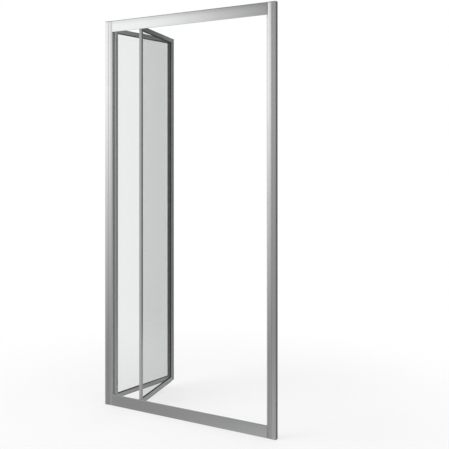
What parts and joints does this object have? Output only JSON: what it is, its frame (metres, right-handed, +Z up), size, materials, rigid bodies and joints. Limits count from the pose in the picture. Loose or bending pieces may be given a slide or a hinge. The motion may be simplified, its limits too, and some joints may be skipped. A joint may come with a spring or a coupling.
{
  "type": "bi-fold shower door",
  "caption": "Framed bi-fold shower door for a niche: clear glass leaves that fold inwards, on pivots at one side and on guides that slide in the header and the threshold.",
  "frame": {"origin": "middle of the threshold's underside, on the plane of the leaves' pivots and of the guide channels", "axes": "+Z up; X across the doorway, with the pivots' post on the -X side; -Y the room side, +Y the shower side"},
  "size_m": [0.896, 0.4057, 1.85],
  "materials": {
    "bright_aluminium": "bright anodised",
    "clear_glass": "clear",
    "grey_gasket": "matt",
    "dark_plastic": "satin",
    "grey_plastic": "satin",
    "magnet_grey": "matt",
    "stainless_steel": "plain"
  },
  "bodies": {
    "frame": {"threshold_rail": "bright_aluminium", "header_rail": "bright_aluminium", "wall_profile_left": "bright_aluminium", "wall_profile_right": "bright_aluminium", "jamb_left": "bright_aluminium", "jamb_right": "bright_aluminium", "jamb_cap_left": "grey_plastic", "jamb_cap_right": "grey_plastic", "corner_block_top_left": "dark_plastic", "corner_block_top_right": "dark_plastic", "corner_block_bottom_left": "dark_plastic", "corner_block_bottom_right": "dark_plastic", "corner_screw_top_left": "stainless_steel", "corner_screw_top_right": "stainless_steel", "corner_screw_bottom_left": "stainless_steel", "corner_screw_bottom_right": "stainless_steel", "lock_screw_bottom_left": "stainless_steel", "lock_screw_middle_left": "stainless_steel", "lock_screw_top_left": "stainless_steel", "lock_screw_bottom_right": "stainless_steel", "lock_screw_middle_right": "stainless_steel", "lock_screw_top_right": "stainless_steel", "pivot_block_top": "dark_plastic", "pivot_block_bottom": "dark_plastic", "side_seal_left": "grey_gasket", "strike_profile": "grey_plastic"},
    "leaf_a": {"hinge_stile": "bright_aluminium", "fold_stile_a": "bright_aluminium", "top_rail_a": "bright_aluminium", "bottom_rail_a": "bright_aluminium", "glass_a": "clear_glass", "gasket_hinge_side": "grey_gasket", "gasket_fold_side_a": "grey_gasket", "gasket_top_a": "grey_gasket", "gasket_bottom_a": "grey_gasket", "drip_seal_a": "grey_gasket", "hinge_pin_top": "stainless_steel", "hinge_pin_bottom": "stainless_steel", "fold_hinge_a": "dark_plastic", "fold_hinge_pin": "stainless_steel"},
    "leaf_b": {"lead_stile": "bright_aluminium", "fold_stile_b": "bright_aluminium", "top_rail_b": "bright_aluminium", "bottom_rail_b": "bright_aluminium", "glass_b": "clear_glass", "gasket_lead_side": "grey_gasket", "gasket_fold_side_b": "grey_gasket", "gasket_top_b": "grey_gasket", "gasket_bottom_b": "grey_gasket", "drip_seal_b": "grey_gasket", "lead_pin_top": "stainless_steel", "lead_pin_bottom": "stainless_steel", "fold_hinge_b": "dark_plastic", "magnet_strip": "magnet_grey"},
    "guide_top": {"guide_shoe_top": "grey_plastic"},
    "guide_bottom": {"guide_shoe_bottom": "grey_plastic"}
  },
  "joints": [
    {"name": "leaf_a_swing", "type": "hinge", "parent": "frame", "child": "leaf_a", "pos_m": [-0.3942, 0, 0.9255], "axis": [0, 0, 1], "range_deg": [-80.3, 5]},
    {"name": "fold_hinge", "type": "hinge", "parent": "leaf_a", "child": "leaf_b", "pos_m": [-0.32118, 0.38561, 0.9255], "axis": [0, 0, 1], "range_deg": [-10.1, 160.7]},
    {"name": "guide_top_pivot", "type": "hinge", "parent": "leaf_b", "child": "guide_top", "pos_m": [-0.24817, 0, 1.8243], "axis": [0, 0, 1], "range_deg": [-80.4, 5.1]},
    {"name": "guide_bottom_pivot", "type": "hinge", "parent": "leaf_b", "child": "guide_bottom", "pos_m": [-0.24817, 0, 0.02], "axis": [0, 0, 1], "range_deg": [-80.4, 5.1]}
  ],
  "couplings": [
    {"joint": "fold_hinge", "follows": "leaf_a_swing", "ratio": -2},
    {"joint": "guide_top_pivot", "follows": "leaf_a_swing", "ratio": 1},
    {"joint": "guide_bottom_pivot", "follows": "leaf_a_swing", "ratio": 1}
  ]
}
